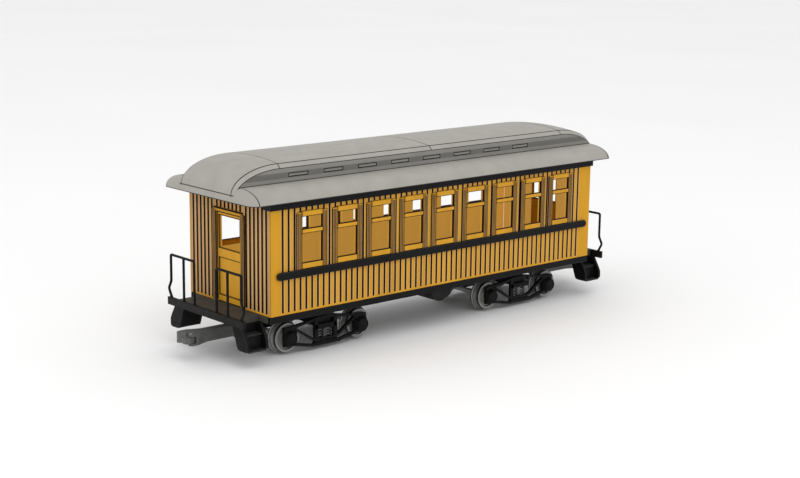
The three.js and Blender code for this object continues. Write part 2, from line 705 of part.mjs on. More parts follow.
add(coach, "underframe", underframe(), MATERIAL.frame);
add(coach, "underfloor_tank", underfloorTank(), MATERIAL.frame);
for (const { name, sign } of SIDES) {
  const group = facing(sign);
  add(group, `side_sill_${name}`, sideSill(), MATERIAL.black);
  add(group, `side_wall_${name}`, sideWall(), MATERIAL.yellow);
  add(group, `belt_rail_${name}`, beltRail(), MATERIAL.black);
  add(group, `letterboard_${name}`, letterboard(), MATERIAL.black);
  add(group, `lower_roof_${name}`, lowerRoof(), MATERIAL.roof);
}
for (const { name: end, sign } of ENDS) {
  const group = facing(sign);
  add(group, `end_beam_${end}`, endBeam(), MATERIAL.frame);
  add(group, `end_wall_${end}`, endWall(), MATERIAL.yellow);
  add(group, `end_door_${end}`, door(), MATERIAL.yellow);
  add(group, `clerestory_roof_${end}`, clerestoryRoof(), MATERIAL.roof);
  add(group, `kingpin_${end}`, kingpin(), MATERIAL.steel);
  add(group, `truck_bolster_${end}`, truckBolster(), MATERIAL.black);
  add(group, `coupler_${end}`, couplerBody(), MATERIAL.coupler);
  add(group, `coupler_pin_${end}`, couplerPin(), MATERIAL.steel);
  add(group, `knuckle_${end}`, knuckle(), MATERIAL.coupler);
  add(group, `knuckle_pin_${end}`, knucklePin(), MATERIAL.steel);
  for (const axle of AXLES) {
    add(group, `wheelset_${end}_${axle.name}`, wheelset(axle.x), MATERIAL.wheel);
  }
  for (const side of [-1, 1]) {
    // Turning the far end round swaps its right and left.
    const corner = SIDES.find((one) => one.sign === -sign * side).name;
    add(group, `railing_${end}_${corner}`, railing(side), MATERIAL.black);
    add(group, `steps_${end}_${corner}`, steps(side), MATERIAL.black);
    add(group, `side_frame_${end}_${corner}`, sideFrame(side), MATERIAL.black);
    for (const axle of AXLES) {
      add(group, `journal_${end}_${corner}_${axle.name}`, journalBox(axle.x, side), MATERIAL.black);
    }
  }
}

export default coach;
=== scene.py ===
"""Model passenger coach, 1:32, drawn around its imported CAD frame.

X runs along the coach with the near end at minus X, Y across it with the right side at minus Y,
and Z up from the lowest point of the wheels.
Shapes are made in millimetres and scaled to metres when they become objects.
Pieces that occur at both ends or on both sides are made once, at the near end or on the right,
and turned half a turn about the vertical axis for the other place.
"""

import math

import bmesh
import bpy
from mathutils import Matrix, Vector


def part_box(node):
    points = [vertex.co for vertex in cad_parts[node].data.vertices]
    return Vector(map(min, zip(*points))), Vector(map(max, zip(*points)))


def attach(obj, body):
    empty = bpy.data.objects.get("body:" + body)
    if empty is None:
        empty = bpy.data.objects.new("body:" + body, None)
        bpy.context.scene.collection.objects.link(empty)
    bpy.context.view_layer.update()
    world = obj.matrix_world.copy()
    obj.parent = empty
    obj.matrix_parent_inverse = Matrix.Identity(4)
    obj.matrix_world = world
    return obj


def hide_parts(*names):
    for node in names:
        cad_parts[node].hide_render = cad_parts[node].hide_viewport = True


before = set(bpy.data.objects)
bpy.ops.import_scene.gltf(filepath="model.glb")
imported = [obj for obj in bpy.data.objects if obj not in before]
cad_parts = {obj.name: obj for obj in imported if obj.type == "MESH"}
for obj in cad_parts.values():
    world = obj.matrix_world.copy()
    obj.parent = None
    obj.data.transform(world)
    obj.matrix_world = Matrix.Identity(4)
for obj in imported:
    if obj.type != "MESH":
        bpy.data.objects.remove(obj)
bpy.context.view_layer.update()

MM = 0.001


def corners(node):
    """Lowest and highest corner of a CAD node, in millimetres."""
    low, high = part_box(node)
    return low / MM, high / MM


# ---------- dimensions, in millimetres ----------

DECK_Z = corners("end_beam_near")[1].z
WALL_TOP = corners("side_wall_right")[1].z
BODY_HALF = corners("side_sill_right")[1].x
SIDE_HALF = -corners("side_sill_right")[0].y + 0.2
WALL = 2.4
SEAM = 0.1

BOARD_PITCH = 4.1
SIDE_GROOVES = 59
FIRST_GROOVE = 8.5 - BODY_HALF
END_GROOVES = [16.4 + 3.75 * i for i in range(6)]
OVER_DOOR_GROOVES = [3.75 * i for i in range(-3, 4)]
SIDE_GROOVE, END_GROOVE = 0.7, 0.94
GROOVE_DEPTH = 0.45
CHAMFER_ACROSS, CHAMFER_DEEP = 0.5, 0.14
FOOT_BAND = 1.1
CUT_MARGIN = 2.0

WINDOWS = 9
WINDOW_PITCH = 25.1
LIGHT_HALF = 7.0
FRAME_HALF = 7.72
FRAME_Z = [DECK_Z + z for z in (24.6, 28.0, 44.4, 47.1, 53.9, 57.1)]
PROUD = 0.85
FRAME_BACK = 0.9
TRIM_WIDTH = 3.15
TRIM_GAP = 0.03
TRIM_TOP = DECK_Z + 56.6
CAPITAL_HEIGHT = 0.8
TRIM_SINK = 0.1
REEDS, REED_STEPS = 3, 8
REED_SHARE = 1 / 2.2
BELT_STEPS = 16

DOOR_HALF = 11.4
DOOR_OPENING = DOOR_HALF - 1.2
DOOR_GAP = 0.3
DOOR_IN = BODY_HALF - 1.8
DOOR_THICK = 1.4
PANEL_BACK, PANEL_FRONT = 0.1, 0.9
MOULDING_WIDTH = 0.45
MOULDING_BACK, MOULDING_FRONT = 0.3, 0.85
LAP = 0.05
PIN_RADIUS = 0.55
PIN_BACK, PIN_EDGE = 0.35, 0.5
PIN_Z = (DECK_Z - 1.2, DECK_Z + 53.3)
DOOR_Z = [DECK_Z + z for z in (0.3, 4.1, 25.8, 31.3, 50.3, 52.0)]
DOOR_TRIM = (11.8, 15.4)
HEAD_Z = (DECK_Z + 52.3, DECK_Z + 54.2)
HEAD_HALF, HEAD_PROUD = 13.9, 0.65
HEAD_LAP = 1.2
LEDGE_HALF, LEDGE_PROUD, LEDGE_HEIGHT = 14.3, 0.9, 0.6

EAVE_Z = WALL_TOP + SEAM
EAVE_HALF = 44.3
CLERESTORY_HALF = 26.9
CLERESTORY_INNER = 24.9
ROOF_RISE = 8.0
UPRIGHT_TOP = WALL_TOP + 16.1
HIP_X = 139.7
ROOF_END = 144.3
HOOD_START = BODY_HALF - 2
HOOD_PLAN_REACH, HOOD_HEIGHT_REACH = 6.5, 4.85
HOOD_STEPS = 12
NOSE_START = 113.0
NOSE_END = ROOF_END - SEAM
NOSE_END_Z = WALL_TOP + 4.1
CHAMFER_WIDTH, CHAMFER_DROP = 2.8, 2.6
CAP_TOP = UPRIGHT_TOP + CHAMFER_DROP
CROWN = 1.75
CROWN_STEPS = 12
VENTS = 8
VENT_PITCH = 25.1
VENT_Z = (DECK_Z + 74.4, DECK_Z + 76.8)
VENT_HALF = 7.1
VENT_DEPTH = 0.6
VENT_BORDER = (0.5, 0.45)

RAIL_X = corners("end_beam_near")[0].x + 1.0
RAIL_FOOT = DECK_Z + 0.1
RAIL_TOP = DECK_Z + 25.1
RAIL_Y = (10.9, 21.5, 34.4)
RAIL_BULGE = 37.0
RAIL_KINKS = (RAIL_FOOT + 9.5, RAIL_FOOT + 4.9, RAIL_FOOT + 0.3)
RAIL_CORNER = 1.1
POST_RADIUS = 0.75
POST_SIDES = 16
POST_FOOT = [(0, 0), (0.9, 0), (0.9, 0.5), (0.75, 0.8), (0, 0.8)]

STEP_X = (-144.1, -129.4)
STEP_PLATE = 1.6
STEP_OUTLINE = [
    (23.6, 24.7),
    (32.6, 24.7),
    (36.2, 18.9),
    (37.7, 15.9),
    (37.8, 12.2),
    (37.2, 11.2),
    (35.8, 10.8),
    (30.5, 10.9),
    (28.9, 11.3),
    (28.3, 12.1),
]
RISER_OUTLINE = [
    (23.7, 24.7),
    (28.0, 24.7),
    (28.0, 18.9),
    (33.2, 18.9),
    (33.2, 10.7),
    (30.5, 10.9),
    (28.8, 11.5),
]
TREADS = ((27.9, 33.4, 19.6), (33.1, 37.5, 11.35))
TREAD_THICK, TREAD_LAP = 0.9, 0.2

TANK_RADIUS = 8.7
TANK_DROP = 2.3
TANK_SIDES = 48

TRUCK_X = 79.7
AXLE_Z = 10.3
WHEELBASE = 52.4
AXLES = {"outer": -TRUCK_X - WHEELBASE / 2, "inner": -TRUCK_X + WHEELBASE / 2}
WHEEL_BACK, WHEEL_FACE = 17.8, 23.4
TREAD, FLANGE = 8.8, 10.3
WHEEL_RINGS = (FLANGE - 0.05, TREAD + 0.4, TREAD - 0.2, TREAD - 1.95, 3.3)
SIDE_FRAME_IN, SIDE_FRAME_OUT = 24.0, 26.2
JOURNAL_FACE = 28.6
BEARING_RADIUS = 1.9

# A side frame, measured from the truck's middle: bars as (distance, height) paths, posts as
# (distance, half width, lowest, highest) and blocks as (from, to, lowest, highest). The bars,
# the posts, the axle block and the bolts are given on one half and repeated on the other.
TOP_BAR = [(6.2, 18.9), (14.7, 17.4), (22.5, 16.4), (30.0, 15.9)]
SLANT_BAR = [(6.6, 6.2), (9.0, 6.8), (21.6, 14.9), (30.0, 14.4)]
LOW_BAR = [(9.5, 3.4), (22.3, 6.0), (30.0, 6.2)]
BAR_DEPTH, SLANT_DEPTH = 1.5, 1.4
POSTS = ((7.0, 1.3, 3.4, 18.6), (21.9, 0.9, 5.8, 15.6), (29.4, 0.7, 6.0, 15.6))
AXLE_BLOCK = (21.8, 29.6, 6.4, 14.4)
BOLSTER_END = (-8.2, 8.2, 12.4, 15.2)
SPRING_SEAT = (-8.8, 8.8, 2.7, 5.0)
SPRING_X = 3.0
SPRING_Z = (5.0, 12.4)
SPRING_TURNS, SPRING_STEPS = 4.5, 14
SPRING_ALONG, SPRING_ACROSS = 1.45, 0.78
SPRING_WIRE = 0.32
BOLT_SPOTS = ((7.0, 17.9), (7.0, 4.0), (21.9, 15.5), (21.9, 6.5))

CAMERA_AZIMUTH, CAMERA_ELEVATION, CAMERA_ROLL = -41.455, 11.86, 0.731
CAMERA_DISTANCE = 960.551
CAMERA_RIGHT, CAMERA_UP = -0.247, 20.601
SENSOR, LENS = 36.0, 69.656
FLOOR_HALF = 30.0


# ---------- materials ----------

LINE, WIDE_LINE, FOOT_LINE, RING_LINE = 0.24, 0.25, 0.22, 0.12
BAND_FADE = 1.6
# half width of the painted highlight on the board edges
HIGHLIGHT_BAND = 0.05
CREST = 0.15


def linear(red, green, blue):
    """An 8-bit screen colour as the linear colour that Blender's sockets take."""
    parts = [c / 255 for c in (red, green, blue)]
    return [c / 12.92 if c <= 0.04045 else ((c + 0.055) / 1.055) ** 2.4 for c in parts] + [1.0]


class Nodes:
    """Short calls for building one material's node tree."""

    def __init__(self, name):
        self.material = bpy.data.materials.new(name)
        self.material.use_nodes = True
        self.tree = self.material.node_tree
        self.shader = self.tree.nodes["Principled BSDF"]
        self.place = self.add("ShaderNodeTexCoord").outputs["Object"]

    def add(self, kind, links=None, **settings):
        node = self.tree.nodes.new(kind)
        for key, value in settings.items():
            setattr(node, key, value)
        for socket, source in (links or {}).items():
            self.link(source, node.inputs[socket])
        return node

    def link(self, source, target):
        if hasattr(source, "is_output"):
            self.tree.links.new(source, target)
        else:
            target.default_value = source

    def math(self, operation, *values):
        return self.add("ShaderNodeMath", dict(enumerate(values)), operation=operation).outputs[0]

    def noise(self, scale, detail=3.0, stretch=(1, 1, 1)):
        links = {"Vector": self.place, "Scale": stretch}
        spread = self.add("ShaderNodeMapping", links).outputs[0]
        links = {"Vector": spread, "Scale": scale, "Detail": detail}
        return self.add("ShaderNodeTexNoise", links).outputs["Fac"]

    def mix(self, amount, first, second):
        node = self.add("ShaderNodeMix", data_type="RGBA")
        for index, value in ((0, amount), (6, first), (7, second)):
            self.link(value, node.inputs[index])
        return node.outputs[2]

    def remap(self, value, low, high, new_low=0.0, new_high=1.0):
        links = {0: value, 1: low, 2: high, 3: new_low, 4: new_high}
        return self.add("ShaderNodeMapRange", links).outputs[0]

    def along(self, axis):
        """The place along X, Y or Z, in millimetres."""
        spot = self.add("ShaderNodeSeparateXYZ", {0: self.place}).outputs[axis]
        return self.math("DIVIDE", spot, MM)

    def away(self, value, centre=0.0):
        """How far value is from centre, either way."""
        return self.math("ABSOLUTE", self.math("SUBTRACT", value, centre))

    def band(self, value, centre, half):
        """1 within half of centre, falling to 0 over a short distance."""
        return self.remap(self.away(value, centre), half, half * BAND_FADE, 1.0, 0.0)

    def product(self, first, *others):
        for other in others:
            first = self.math("MULTIPLY", first, other)
        return first

    def largest(self, first, *others):
        for other in others:
            first = self.math("MAXIMUM", first, other)
        return first

    def glow(self, amount, color, strength):
        """Light of the part's own colour, where light from outside would bounce about a room."""
        self.link(color, self.shader.inputs["Emission Color"])
        self.link(self.product(amount, strength), self.shader.inputs["Emission Strength"])

    def bump(self, height, strength, distance):
        links = {"Height": height, "Strength": strength, "Distance": distance}
        self.link(self.add("ShaderNodeBump", links).outputs[0], self.shader.inputs["Normal"])


YELLOW = (202, 147, 36)
END_YELLOW = (194, 148, 86)
# painted highlight on the board edges
EDGE_HIGHLIGHT = (206, 168, 122)
# the second colour is painted shade for the hollows between the reeds
REED_YELLOW, REED_SHADE = (156, 118, 66), (30, 20, 10)
# painted shade in the board grooves
GROOVE_SHADE = (16, 5, 3)
# painted light: the glow of the walls' inner faces, for light bounced about inside
INSIDE_BOUNCE_LIGHT = (206, 160, 74)
INSIDE_GLOW = 0.5
SASH_LINE = (24, 14, 6)
ROOF_GREY = (157, 154, 147)
# painted shade on the clerestory's upright sides
UPRIGHT_SHADE_GREY = (88, 87, 86)
UPRIGHT_SHADE = 0.45
ROOF_LINE = (40, 38, 36)
WHEEL_LINE = (30, 30, 29)
BOARD_GRAIN = (1, 1, 0.12)
SASH_GRAIN = (1, 1, 0.2)
NO_GRAIN = (1, 1, 1)
DRIFT_SCALE, WEAR_SCALE, FINE_SCALE = 90, 260, 1800
NOISE_RANGE = (0.3, 0.7)
DARKER, LIGHTER = 2.2, 1.6
WEAR = 0.07
FINE_BUMP, FINE_DEPTH = 0.25, 0.06 * MM
MATERIAL = {}


def painted(
    name, color, roughness, variation=0.06, metallic=0.0, grain=NO_GRAIN, paint=None, shine=0.3
):
    """Add to MATERIAL a paint or bare metal with colour drift, fine grain and uneven roughness.

    paint, if given, takes the nodes and the base colour and returns the colour to use."""
    nodes = Nodes(name)
    base = linear(*color)
    dark = [c * (1 - DARKER * variation) for c in base[:3]] + [1.0]
    light = [min(1, c * (1 + LIGHTER * variation)) for c in base[:3]] + [1.0]
    drift = nodes.remap(nodes.noise(DRIFT_SCALE, 4.0, grain), *NOISE_RANGE)
    result = nodes.mix(drift, dark, light)
    if paint:
        result = paint(nodes, result)
    nodes.link(result, nodes.shader.inputs["Base Color"])
    fine = nodes.noise(FINE_SCALE, 2.0, grain)
    worn = nodes.remap(nodes.noise(WEAR_SCALE), *NOISE_RANGE, roughness - WEAR, roughness + WEAR)
    nodes.link(worn, nodes.shader.inputs["Roughness"])
    nodes.shader.inputs["Metallic"].default_value = metallic
    nodes.shader.inputs["Specular IOR Level"].default_value = shine
    nodes.bump(fine, FINE_BUMP, FINE_DEPTH)
    MATERIAL[name] = nodes.material


def board_paint(axis, highlight_share):
    """Painted shade in the grooves, and a painted highlight on the board edges by highlight_share,
    on the X or Y face of a wall.

    The wall's inner face glows with painted light, for light bounced about inside the coach."""
    face = {"X": BODY_HALF, "Y": SIDE_HALF}[axis]
    chamfer = face - CHAMFER_DEEP
    middle = face - WALL / 2

    def paint(nodes, color):
        depth = nodes.away(nodes.along(axis))
        # painted shade deep in the grooves and cuts of the wall's outer half
        groove_shade_mask = nodes.remap(depth, chamfer, chamfer - 0.03)
        outside = nodes.remap(depth, middle, middle + 0.1)
        # painted highlight on the chamfered board edges
        highlight_mask = nodes.band(depth, chamfer + HIGHLIGHT_BAND, HIGHLIGHT_BAND)
        highlighted = nodes.mix(nodes.product(highlight_mask, highlight_share), color, linear(*EDGE_HIGHLIGHT))
        # painted light: the inner face glows, for light bounced about inside the coach
        nodes.glow(nodes.math("SUBTRACT", 1.0, outside), linear(*INSIDE_BOUNCE_LIGHT), INSIDE_GLOW)
        return nodes.mix(nodes.product(groove_shade_mask, outside), highlighted, linear(*GROOVE_SHADE))

    return paint


def reed_paint(axis):
    """Painted shade in the hollows between the reeds of the trim, paler on their crests."""
    top = {"X": BODY_HALF, "Y": SIDE_HALF}[axis] + PROUD

    def paint(nodes, color):
        depth = nodes.away(nodes.along(axis))
        # painted shade in the hollows, fading to the paint colour on the crests
        crest = nodes.remap(depth, top - CREST, top)
        return nodes.mix(crest, linear(*REED_SHADE), color)

    return paint


def lower_roof_paint(nodes, color):
    """Dark lines at hip, clerestory foot and eave; painted shade round the vents and on the uprights.
    """
    along, across = nodes.away(nodes.along("X")), nodes.away(nodes.along("Y"))
    height = nodes.along("Z")
    foot_z = EAVE_Z + ROOF_RISE
    outboard = nodes.remap(across, CLERESTORY_HALF + 0.1, CLERESTORY_HALF + 0.2)
    hip = nodes.product(nodes.band(along, HIP_X, LINE), outboard)
    at_wall = nodes.band(across, CLERESTORY_HALF, 0.3)
    foot = nodes.product(nodes.band(height, foot_z, LINE), at_wall)
    eave = nodes.band(height, EAVE_Z + 0.1, LINE)
    # painted shade in the vent recesses, round the raised panels
    in_recess = nodes.band(across, CLERESTORY_HALF - 0.4, 0.3)
    vents = nodes.product(in_recess, nodes.band(height, sum(VENT_Z) / 2, 1.25))
    # painted shade on the clerestory's upright sides
    on_wall = nodes.band(across, CLERESTORY_HALF, 0.04)
    above = nodes.remap(height, foot_z, foot_z + 0.2)
    upright_shade_mask = nodes.product(on_wall, above, UPRIGHT_SHADE)
    shaded = nodes.mix(upright_shade_mask, color, linear(*UPRIGHT_SHADE_GREY))
    return nodes.mix(nodes.largest(hip, foot, eave, vents), shaded, linear(*ROOF_LINE))


def cap_paint(nodes, color):
    """Dark lines along both edges of the chamfer, round the bullnose and across the middle."""
    along, across = nodes.away(nodes.along("X")), nodes.away(nodes.along("Y"))
    top_edge = nodes.band(across, CLERESTORY_HALF - CHAMFER_WIDTH, LINE)
    low_edge = nodes.band(across, CLERESTORY_HALF, WIDE_LINE)
    nose = nodes.band(along, NOSE_START, LINE)
    at_end = nodes.band(along, NOSE_END, 0.6)
    foot = nodes.product(nodes.band(nodes.along("Z"), NOSE_END_Z, FOOT_LINE), at_end)
    middle = nodes.band(along, 0.0, WIDE_LINE)
    lines = nodes.largest(top_edge, low_edge, nose, foot, middle)
    return nodes.mix(lines, color, linear(*ROOF_LINE))


def wheel_paint(nodes, color):
    """Dark rings at the edges of the flange, tread, rim and hub of whichever wheel this is."""
    from_truck = nodes.away(nodes.away(nodes.along("X")), TRUCK_X)
    from_axle = nodes.math("SUBTRACT", from_truck, WHEELBASE / 2)
    above = nodes.math("SUBTRACT", nodes.along("Z"), AXLE_Z)
    squares = nodes.math("ADD", nodes.product(from_axle, from_axle), nodes.product(above, above))
    radius = nodes.math("SQRT", squares)
    for ring in WHEEL_RINGS:
        color = nodes.mix(nodes.band(radius, ring, RING_LINE), color, linear(*WHEEL_LINE))
    return color


def sash_paint(nodes, color):
    """Dark lines round the window lights, on the frames' outer faces."""
    shifted = nodes.math("ADD", nodes.along("X"), WINDOW_PITCH / 2)
    wrapped = nodes.math("WRAP", shifted, WINDOW_PITCH, 0.0)
    from_middle = nodes.away(wrapped, WINDOW_PITCH / 2)
    lines = nodes.band(from_middle, LIGHT_HALF + 0.12, 0.16)
    height = nodes.along("Z")
    for edge, way in zip(FRAME_Z[1:5], (-1, 1, -1, 1)):
        lines = nodes.largest(lines, nodes.band(height, edge + way * 0.14, 0.2))
    return nodes.mix(lines, color, linear(*SASH_LINE))


BOARD = {"grain": BOARD_GRAIN, "shine": 0.12}
painted("side_boards", YELLOW, 0.55, paint=board_paint("Y", 0.8), **BOARD)
painted("end_boards", END_YELLOW, 0.55, paint=board_paint("X", 1.0), **BOARD)
painted("side_reeds", REED_YELLOW, 0.55, paint=reed_paint("Y"), shine=0.12)
painted("end_reeds", REED_YELLOW, 0.55, paint=reed_paint("X"), shine=0.12)
painted("sash", YELLOW, 0.52, grain=SASH_GRAIN, paint=sash_paint, shine=0.15)
painted("yellow", YELLOW, 0.52, grain=SASH_GRAIN, shine=0.15)
painted("yellow_edge", (36, 22, 8), 0.7, shine=0.1)
painted("roof", ROOF_GREY, 0.62, 0.03, paint=lower_roof_paint)
painted("cap", ROOF_GREY, 0.62, 0.03, paint=cap_paint)
# roof grey with painted shade, for the vent panels on the uprights
painted("roof_side_shade", (126, 125, 120), 0.62, 0.04)
painted("roof_edge", ROOF_LINE, 0.7, shine=0.1)
painted("black", (13, 13, 15), 0.5, 0.1, shine=0.12)
painted("black_edge", (26, 26, 28), 0.45, 0.1, shine=0.2)
painted("tread", (40, 40, 39), 0.55, 0.12, shine=0.2)
painted("deck", (66, 63, 58), 0.6, 0.08, shine=0.15)
painted("beam", (22, 22, 21), 0.55, 0.08, shine=0.15)
painted("beam_edge", (12, 12, 12), 0.6, 0.08, shine=0.1)
painted("wheel", (146, 147, 144), 0.42, 0.06, 0.3, paint=wheel_paint)
painted("coupler", (92, 93, 90), 0.5, 0.07, 0.2)
painted("coupler_edge", (24, 24, 23), 0.6, shine=0.1)
painted("steel", (150, 150, 150), 0.35, 0.04, 0.8)


# ---------- shapes ----------


def prism(bm, outline, axis, low, high):
    """An outline pushed along an axis. Its points are (x, y) for z, (x, z) for y, (y, z) for x."""
    turn = {
        "z": lambda a, b, h: (a, b, h),
        "y": lambda a, b, h: (a, h, b),
        "x": lambda a, b, h: (h, a, b),
    }[axis]
    rings = [[bm.verts.new(turn(a, b, h)) for a, b in outline] for h in (low, high)]
    for ring in rings:
        bm.faces.new(ring)
    join_rings(bm, *rings)


def join_rings(bm, first, second):
    """Four-sided faces between two rings of equal length."""
    count = len(first)
    for i in range(count):
        j = (i + 1) % count
        bm.faces.new((first[i], first[j], second[j], second[i]))


def block(bm, xs, ys, zs):
    prism(bm, [(xs[0], ys[0]), (xs[1], ys[0]), (xs[1], ys[1]), (xs[0], ys[1])], "z", *zs)


def loft(bm, sections):
    """A closed solid through closed rings of equal length."""
    rings = [[bm.verts.new(point) for point in section] for section in sections]
    for first, second in zip(rings, rings[1:]):
        join_rings(bm, first, second)
    bm.faces.new(rings[0])
    bm.faces.new(rings[-1])


def lathe(bm, profile, centre, axis, sides):
    """(radius, distance) points turned about a Y or Z line through centre, with both ends on it."""

    def point(r, d, angle):
        a, b = r * math.cos(angle), r * math.sin(angle)
        return Vector(centre) + Vector((a, d, b) if axis == "y" else (a, b, d))

    rings = []
    for r, d in profile:
        count = 1 if r == 0 else sides
        rings.append([bm.verts.new(point(r, d, math.tau * i / sides)) for i in range(count)])
    for first, second in zip(rings, rings[1:]):
        if len(first) == len(second):
            join_rings(bm, first, second)
            continue
        pole, ring = (first, second) if len(first) == 1 else (second, first)
        for i in range(sides):
            bm.faces.new((pole[0], ring[i], ring[(i + 1) % sides]))


def rod(bm, low, high, radius, sides):
    """A round bar between two points."""
    tube(bm, [low, high], radius, sides)


def tube(bm, path, radius, sides):
    """A round section swept along a path, mitred at its corners."""
    points = [Vector(p) for p in path]
    steps = [(b - a).normalized() for a, b in zip(points, points[1:])]
    side = steps[0].orthogonal().normalized()
    rings = []
    for i, point in enumerate(points):
        before, after = steps[max(i - 1, 0)], steps[min(i, len(steps) - 1)]
        mean = (before + after).normalized()
        stretch = 1 / max(0.3, mean.dot(before))
        side = (side - mean * side.dot(mean)).normalized()
        other = mean.cross(side)
        bend = after - before
        bend = bend.normalized() if bend.length > 1e-6 else None
        ring = []
        for k in range(sides):
            angle = math.tau * k / sides
            offset = (side * math.cos(angle) + other * math.sin(angle)) * radius
            if bend:
                offset += bend * offset.dot(bend) * (stretch - 1)
            ring.append(tuple(point + offset))
        rings.append(ring)
    loft(bm, rings)


def rounded(path, radius, steps=5):
    """A path with its corners replaced by curves that start radius away from them."""
    points = [Vector(p) for p in path]
    result = [points[0]]
    for before, corner, after in zip(points, points[1:], points[2:]):
        start = corner + (before - corner).normalized() * radius
        end = corner + (after - corner).normalized() * radius
        for i in range(steps + 1):
            t = i / steps
            result.append(start * (1 - t) ** 2 + corner * 2 * t * (1 - t) + end * t * t)
    return result + [points[-1]]


def lattice(bm, columns, rows, holes, axis, low, high):
    """A flat plate with rectangular holes, all one mesh with no face inside it.

    columns and rows are the lines of a grid, and holes are its empty (column, row) cells."""
    turn = (lambda a, b, h: (a, h, b)) if axis == "y" else (lambda a, b, h: (h, a, b))
    spots = {}

    def vert(i, j, level):
        if (i, j, level) not in spots:
            spots[i, j, level] = bm.verts.new(turn(columns[i], rows[j], (low, high)[level]))
        return spots[i, j, level]

    cells = {(i, j) for i in range(len(columns) - 1) for j in range(len(rows) - 1)} - set(holes)
    for i, j in cells:
        ring = ((i, j), (i + 1, j), (i + 1, j + 1), (i, j + 1))
        for level in (0, 1):
            bm.faces.new([vert(a, b, level) for a, b in ring])
        beyond = ((i, j - 1), (i + 1, j), (i, j + 1), (i - 1, j))
        for k, cell in enumerate(beyond):
            if cell not in cells:
                (a, b), (c, d) = ring[k], ring[(k + 1) % 4]
                bm.faces.new((vert(a, b, 0), vert(c, d, 0), vert(c, d, 1), vert(a, b, 1)))


def solid(build, turned=False):
    """The mesh that a build function makes, turned half a turn if asked."""
    bm = bmesh.new()
    build(bm)
    if turned:
        bmesh.ops.rotate(bm, verts=bm.verts, matrix=Matrix.Rotation(math.pi, 3, "Z"))
    bmesh.ops.recalc_face_normals(bm, faces=bm.faces)
    bmesh.ops.scale(bm, verts=bm.verts, vec=(MM, MM, MM))
    mesh = bpy.data.meshes.new("shape")
    bm.to_mesh(mesh)
    bm.free()
    return mesh


def combined(mesh, others, operation):
    """mesh cut by or joined to the other meshes, one after another."""
    for other in others:
        base = bpy.data.objects.new("base", mesh)
        tool = bpy.data.objects.new("tool", other)
        for each in (base, tool):
            bpy.context.scene.collection.objects.link(each)
        modifier = base.modifiers.new("combine", "BOOLEAN")
        modifier.object = tool
        modifier.operation = operation
        modifier.solver = "EXACT"
        graph = bpy.context.evaluated_depsgraph_get()
        mesh = bpy.data.meshes.new_from_object(base.evaluated_get(graph))
        for each in (base, tool):
            bpy.data.objects.remove(each)
    return mesh


def piece(name, mesh, body, nodes, material, edge=None, bevel=0.0, segments=2, smooth=35):
    """A finished piece: shaded, bevelled, painted, riding on its body and standing for its nodes."""
    mesh.name = name
    mesh.polygons.foreach_set("use_smooth", [True] * len(mesh.polygons))
    mesh.set_sharp_from_angle(angle=math.radians(smooth))
    mesh.materials.clear()
    for key in (material, edge):
        if key:
            mesh.materials.append(MATERIAL[key])
    made = bpy.data.objects.new(name, mesh)
    bpy.context.scene.collection.objects.link(made)
    if bevel:
        modifier = made.modifiers.new("edges", "BEVEL")
        modifier.width = bevel * MM
        modifier.segments = segments
        modifier.limit_method = "ANGLE"
        modifier.angle_limit = math.radians(smooth)
        modifier.harden_normals = True
        modifier.use_clamp_overlap = True
        if edge:
            modifier.material = 1
    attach(made, body)
    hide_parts(*nodes)


def refined(node, body, material, edge=None, bevel=0.0, segments=2):
    """A CAD node's own shape with its flat faces merged and its edges eased."""
    bm = bmesh.new()
    bm.from_mesh(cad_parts[node].data)
    bmesh.ops.remove_doubles(bm, verts=bm.verts, dist=0.002 * MM)
    bmesh.ops.dissolve_limit(bm, angle_limit=math.radians(1), verts=bm.verts, edges=bm.edges)
    mesh = bpy.data.meshes.new(node)
    bm.to_mesh(mesh)
    bm.free()
    piece(f"{node}_body", mesh, body, [node], material, edge, bevel, segments)


def on_wall(name, mesh, node, material, edge=None, bevel=0.0, segments=2):
    """A piece of the body's yellow walls."""
    piece(name, mesh, "coach_body", [node], material, edge, bevel, segments)


def black_trim(name, mesh, body, node, material="black", edge=None, bevel=0.0, segments=2, smooth=35):
    """A piece of the black fittings."""
    piece(name, mesh, body, [node], material, edge, bevel, segments, smooth)


ENDS = {"near": -1, "far": 1}
SIDES = {"right": -1, "left": 1}


def corner_name(end, side):
    """The side of the coach that a piece made on one side of the near end comes to."""
    return "right" if -ENDS[end] * side < 0 else "left"


# ---------- walls ----------


def groove_points(centres, face, half):
    """Outline points across a board face, with an eased edge on both sides of each groove."""
    points = []
    for c in centres:
        for side in (-1, 1):
            edge = [
                (c + side * (half + CHAMFER_ACROSS), face),
                (c + side * half, face + CHAMFER_DEEP),
                (c + side * half, face + GROOVE_DEPTH),
            ]
            points += edge if side < 0 else edge[::-1]
    return points


WINDOW_CENTRES = [(i - (WINDOWS - 1) / 2) * WINDOW_PITCH for i in range(WINDOWS)]


def side_outline(centres):
    end = BODY_HALF - SEAM
    inside = -SIDE_HALF + WALL
    points = [(-end, -SIDE_HALF), *groove_points(centres, -SIDE_HALF, SIDE_GROOVE), (end, -SIDE_HALF)]
    return [*points, (end - WALL, inside), (-end + WALL, inside)]


def side_boards(bm):
    centres = [FIRST_GROOVE + i * BOARD_PITCH for i in range(SIDE_GROOVES)]
    prism(bm, side_outline(centres), "z", DECK_Z + FOOT_BAND, WALL_TOP)


def side_foot(bm):
    prism(bm, side_outline([]), "z", DECK_Z, DECK_Z + FOOT_BAND)


def through(face):
    """From outside a wall's outer face to inside its inner face, for cutting right through it."""
    return (-face - CUT_MARGIN, -face + WALL + CUT_MARGIN)


def window_holes(bm):
    for x in WINDOW_CENTRES:
        across = (x - FRAME_HALF, x + FRAME_HALF)
        block(bm, across, through(SIDE_HALF), (FRAME_Z[0], FRAME_Z[-1]))


